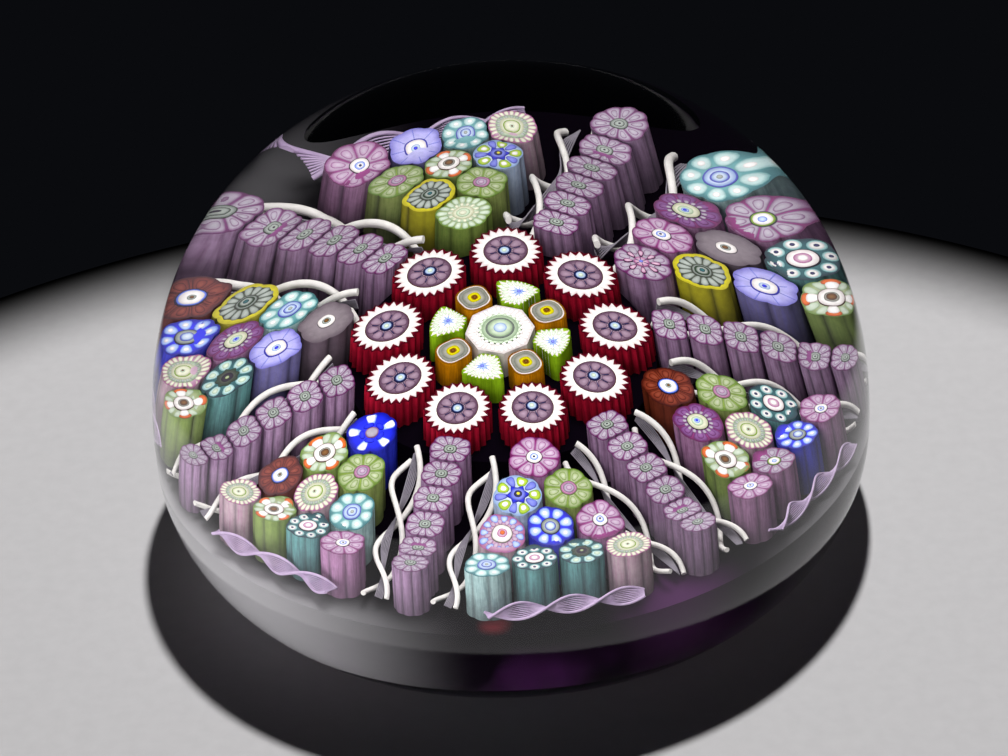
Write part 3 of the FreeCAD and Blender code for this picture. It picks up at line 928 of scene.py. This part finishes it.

# %% [markdown]
# ## The dark ground
#
# The canes stand on a cushion of amethyst glass so deep that it looks black. Its lower part is painted
# with a mottled purple glow: painted light, as of light shining through it. Towards the left and the
# right its rim is painted milky grey, painted light of the pale table, and two soft painted
# reflections of the canes, purple and red, lie in its front.

# %% Amethyst ground
EDGE_START = 21.0 * MM        # the rim of the cushion, where the painted light of the pale table lies
EDGE_END = 25.0 * MM
# painted reflections of the canes: a purple and a red spot on the front of the ground
REFLECTION_SPOTS = ((12, -20, 7, 7, "#442248", 0.8),           # place and reach in mm, colour, strength
         (-2.4, -22.6, 7.6, 1.7, "#8A2A34", 0.6))
ground_glass, tree = new_material("deep_amethyst_glass")
place = add_node(tree, "TexCoord")
cloud = add_node(tree, "TexNoise", i0=(place, "Object"), Scale=1 / (7 * MM), Detail=2.0)
height = add_node(tree, "SeparateXYZ", i0=(place, "Object"))
# painted light: a mottled purple glow on the lower part of the ground, below about 5 mm, as of light
# shining through
glow_below = add_node(tree, "MapRange", i0=(height, "Z"), i1=4 * MM, i2=6 * MM, i3=1.0, i4=0.0)
glow = add_node(tree, "ValToRGB", i0=(cloud, "Fac"))
glow.color_ramp.elements[0].position = 0.5
glow.color_ramp.elements[0].color = linear("#0A050C")
glow.color_ramp.elements[1].position = 0.8
glow.color_ramp.elements[1].color = linear("#34143A")
deep = add_node(tree, "Mix", COLOURS, i0=(glow_below, 0), i6=linear("#060308"), i7=(glow, 0))
edge = add_node(tree, "Mapping", i0=(place, "Object"), Location=(-SETUP_X, -SETUP_Y, 0), Scale=(1, 1, 0))
edge = add_node(tree, "VectorMath", {"operation": "LENGTH"}, i0=(edge, 0))
edge = add_node(tree, "MapRange", SMOOTH, i0=(edge, "Value"),
                i1=EDGE_START, i2=EDGE_END)
# painted light of the pale table: the rim is painted milky grey to the left and the right
left = add_node(tree, "MapRange", SMOOTH, i0=(height, "X"),
                i1=-4 * MM, i2=-24 * MM)
right = add_node(tree, "MapRange", SMOOTH, i0=(height, "X"),
                 i1=17 * MM, i2=26 * MM, i4=0.4)
sides = add_node(tree, "Math", {"operation": "ADD"}, i0=(left, 0), i1=(right, 0))
table_light = add_node(tree, "Math", {"operation": "MULTIPLY"}, i0=(sides, 0), i1=(edge, 0))
deep = add_node(tree, "Mix", COLOURS, i0=(table_light, 0), i6=(deep, 2), i7=linear("#8C8A8D"))
# painted reflections of the canes
for x, y, z, spread, colour, share in REFLECTION_SPOTS:
    spot = add_node(tree, "Mapping", i0=(place, "Object"), Location=(-x * MM, -y * MM, -z * MM))
    spot = add_node(tree, "VectorMath", {"operation": "LENGTH"}, i0=(spot, 0))
    spot = add_node(tree, "MapRange", SMOOTH, i0=(spot, "Value"),
                    i1=0.0, i2=spread * MM, i3=share, i4=0.0)
    deep = add_node(tree, "Mix", COLOURS, i0=(spot, 0), i6=(deep, 2), i7=linear(colour))
shader = add_node(tree, "BsdfPrincipled", Base_Color=(deep, 2), Roughness=0.5, IOR=1.5,
                  Specular_IOR_Level=0.0)
add_node(tree, "OutputMaterial", Surface=(shader, 0))
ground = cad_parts["amethyst_ground"]
ground.data.materials.clear()
ground.data.materials.append(ground_glass)
set_up.objects.link(ground)

# %% [markdown]
# ## The clear dome
#
# The CAD dome has a pocket that the set-up fills. In the real weight there is no pocket wall to see,
# because glass has flowed against glass. So the clear dome and base are drawn as one closed outer
# surface, turned on a lathe from the same few sizes, and the set-up simply lies inside it. Light bends
# only at that outer surface, which is what magnifies the canes.

# %% Lathe the clear glass
low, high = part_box("clear_dome")
RADIUS = high.x
HEIGHT = high.z
WIDEST = 11.5 * MM
FULLNESS = 2.23
FOOT_RADIUS = 29.75 * MM
FOOT_ROUND = 0.6 * MM
DISH_RADIUS = 22.0 * MM
DISH_DEPTH = 1.0 * MM


def weight_profile():
    """Points (reach, height) from the middle of the underside round to the crown."""
    ball = (DISH_RADIUS ** 2 + DISH_DEPTH ** 2) / (2 * DISH_DEPTH)
    points = []
    for i in range(13):
        reach = DISH_RADIUS * i / 12
        points.append((reach, DISH_DEPTH - ball + math.sqrt(ball ** 2 - reach ** 2)))
    points.append((FOOT_RADIUS - FOOT_ROUND, 0.0))
    run = RADIUS - FOOT_RADIUS
    side = (run ** 2 + WIDEST ** 2) / (2 * run)
    for i in range(1, 25):
        height = WIDEST * i / 24
        points.append((RADIUS - side + math.sqrt(side ** 2 - (WIDEST - height) ** 2), height))
    for i in range(1, 73):
        a = math.pi / 2 * i / 72
        reach = RADIUS * math.cos(a) ** (2 / FULLNESS) if i < 72 else 0.0
        points.append((reach, WIDEST + (HEIGHT - WIDEST) * math.sin(a) ** (2 / FULLNESS)))
    return points


def lathe(name, profile, segments):
    points, faces = [], []
    for reach, height in profile[1:-1]:
        for k in range(segments):
            a = 2 * math.pi * k / segments
            points.append((reach * math.cos(a), reach * math.sin(a), height))
    rings = len(profile) - 2
    for i in range(rings - 1):
        for k in range(segments):
            a = i * segments + k
            b = i * segments + (k + 1) % segments
            faces.append((a, b, b + segments, a + segments))
    bottom, top = len(points), len(points) + 1
    points += [(0, 0, profile[0][1]), (0, 0, profile[-1][1])]
    last = (rings - 1) * segments
    for k in range(segments):
        n = (k + 1) % segments
        faces.append((n, k, bottom))
        faces.append((last + k, last + n, top))
    mesh = bpy.data.meshes.new(name)
    mesh.from_pydata(points, [], faces)
    mesh.shade_smooth()
    mesh.set_sharp_from_angle(angle=math.radians(25))
    return mesh


# %% Clear crystal
crystal, tree = new_material("clear_crystal")
clear = add_node(tree, "BsdfPrincipled", Base_Color=linear("#FFFFFF"), Roughness=0.0, IOR=1.56,
                 Transmission_Weight=1.0)
lamp_way = add_node(tree, "BsdfTransparent", Color=(0.01, 0.01, 0.01, 1.0))
rays = add_node(tree, "LightPath")
glass = add_node(tree, "MixShader", i0=(rays, "Is Shadow Ray"), i1=(clear, 0), i2=(lamp_way, 0))
add_node(tree, "OutputMaterial", Surface=(glass, 0))

dome = bpy.data.objects.new("clear_weight", lathe("clear_weight", weight_profile(), 256))
dome.data.materials.append(crystal)
bpy.context.scene.collection.objects.link(dome)
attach(dome, "root")
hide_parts("clear_dome", "clear_base")

# %% [markdown]
# ## The table
#
# A round pale table top, with the weight standing towards its far side. Its edge fades softly into
# the dark room. Behind the weight a soft dark patch is painted on the table: painted shade. The weight
# hides it, but the crown of the dome looks down on it, and so stays clear and black instead of milky.

# %% Pale floor
FLOOR_RADIUS = 102 * MM
FLOOR_FADE = 17 * MM
FLOOR_X = -4 * MM
FLOOR_Y = -38 * MM
SHADE_PATCH_Y = 84 * MM            # from the middle of the table to the middle of the painted shade patch
SHADE_PATCH_WIDE = 36 * MM         # its half width and half depth
SHADE_PATCH_DEEP = 40 * MM
floor_paint, tree = new_material("pale_floor")
place = add_node(tree, "TexCoord")
grain = add_node(tree, "TexNoise", i0=(place, "Object"), Scale=1 / (1.5 * MM), Detail=3.0)
tint = add_node(tree, "Mix", COLOURS, i0=(grain, "Fac"),
                i6=linear("#CBC9CA"), i7=linear("#D6D4D5"))
reach = add_node(tree, "VectorMath", {"operation": "LENGTH"}, i0=(place, "Object"))
fade = add_node(tree, "MapRange", SMOOTH, i0=(reach, "Value"),
                i1=FLOOR_RADIUS - FLOOR_FADE, i2=FLOOR_RADIUS, i3=1.0, i4=0.0)
behind = add_node(tree, "Mapping", i0=(place, "Object"), Location=(0, -SHADE_PATCH_Y / SHADE_PATCH_DEEP, 0),
                  Scale=(1 / SHADE_PATCH_WIDE, 1 / SHADE_PATCH_DEEP, 0))
behind = add_node(tree, "VectorMath", {"operation": "LENGTH"}, i0=(behind, 0))
# painted shade: a soft dark patch on the table behind the weight
shade_patch = add_node(tree, "MapRange", SMOOTH, i0=(behind, "Value"),
                  i1=0.8, i2=1.0, i3=0.0, i4=1.0)
fade = add_node(tree, "Math", {"operation": "MULTIPLY"}, i0=(fade, 0), i1=(shade_patch, 0))
faded = add_node(tree, "VectorMath", {"operation": "SCALE"}, i0=(tint, 2), Scale=(fade, 0))
shader = add_node(tree, "BsdfPrincipled", Base_Color=(faded, 0), Roughness=0.8, Specular_IOR_Level=0.0)
add_node(tree, "OutputMaterial", Surface=(shader, 0))

top = bmesh.new()
bmesh.ops.create_cone(top, cap_ends=True, segments=192, radius1=FLOOR_RADIUS, radius2=FLOOR_RADIUS,
                      depth=4 * MM, matrix=Matrix.Translation((0, 0, -2 * MM)))
floor_mesh = bpy.data.meshes.new("pale_table_top")
top.to_mesh(floor_mesh)
top.free()
floor_mesh.materials.append(floor_paint)
floor = bpy.data.objects.new("pale_table_top", floor_mesh)
floor.location = (FLOOR_X, FLOOR_Y, 0)
bpy.context.scene.collection.objects.link(floor)

# %% [markdown]
# ## Light
#
# One soft light above and behind lights the table and throws the weight's dark shadow towards the
# viewer: glass as thick as this sends nearly all the light elsewhere. What it sends elsewhere is the
# light that fills the set-up from all round. Three soft lights that reach only the set-up stand in
# for it: one from above, one from the front, and one for the bounce off the table. The room is dark.

# %% Lamps
def soft_light(name, place, aim, size, watts, only=None):
    lamp = bpy.data.lights.new(name, "AREA")
    lamp.shape = "DISK"
    lamp.size = size
    lamp.energy = watts
    thing = bpy.data.objects.new(name, lamp)
    thing.location = place
    thing.rotation_euler = (Vector(aim) - Vector(place)).to_track_quat("-Z", "Y").to_euler()
    thing.visible_glossy = False
    thing.visible_transmission = False
    bpy.context.scene.collection.objects.link(thing)
    if only:
        thing.light_linking.receiver_collection = only
        thing.light_linking.blocker_collection = only


MIDDLE = (SETUP_X, SETUP_Y, 10 * MM)
soft_light("key", (0.045, 0.15, 0.58), (0, -0.03, 0), 0.03, 3.25)
soft_light("set_up_top", (0.03, 0.04, 0.30), MIDDLE, 0.16, 1.1, set_up)
soft_light("set_up_front", (-0.05, -0.22, 0.20), MIDDLE, 0.22, 0.72, set_up)
soft_light("floor_bounce", (-0.20, -0.10, -0.04), MIDDLE, 0.16, 0.6, set_up)
world = bpy.data.worlds.new("dark_room")
world.use_nodes = True
world.node_tree.nodes["Background"].inputs["Color"].default_value = linear("#0A0B0E")
world.node_tree.nodes["Background"].inputs["Strength"].default_value = 1.0
bpy.context.scene.world = world
bpy.context.scene.view_settings.view_transform = "Standard"

# %% [markdown]
# ## Camera
#
# The weight is seen from close by, from about a third of the way up, with a slight tilt of the head.

# %% Camera
ELEVATION = math.radians(32.8)
DISTANCE = 272.7 * MM
ROLL = math.radians(-3.7)
AIM = Vector((-0.5, 4.8, 12.7)) * MM
FOCAL = 97.6
backward = Vector((0, -math.cos(ELEVATION), math.sin(ELEVATION)))
level = Vector((1, 0, 0))
upright = backward.cross(level)
right = level * math.cos(ROLL) + upright * math.sin(ROLL)
up = backward.cross(right)
eye = AIM + backward * DISTANCE
camera_data = bpy.data.cameras.new("camera")
camera_data.lens = FOCAL
camera_data.sensor_width = 36.0
camera_data.clip_start = 0.01
camera = bpy.data.objects.new("camera", camera_data)
camera.matrix_world = Matrix((
    (right.x, up.x, backward.x, eye.x),
    (right.y, up.y, backward.y, eye.y),
    (right.z, up.z, backward.z, eye.z),
    (0, 0, 0, 1)))
bpy.context.scene.collection.objects.link(camera)
bpy.context.scene.camera = camera
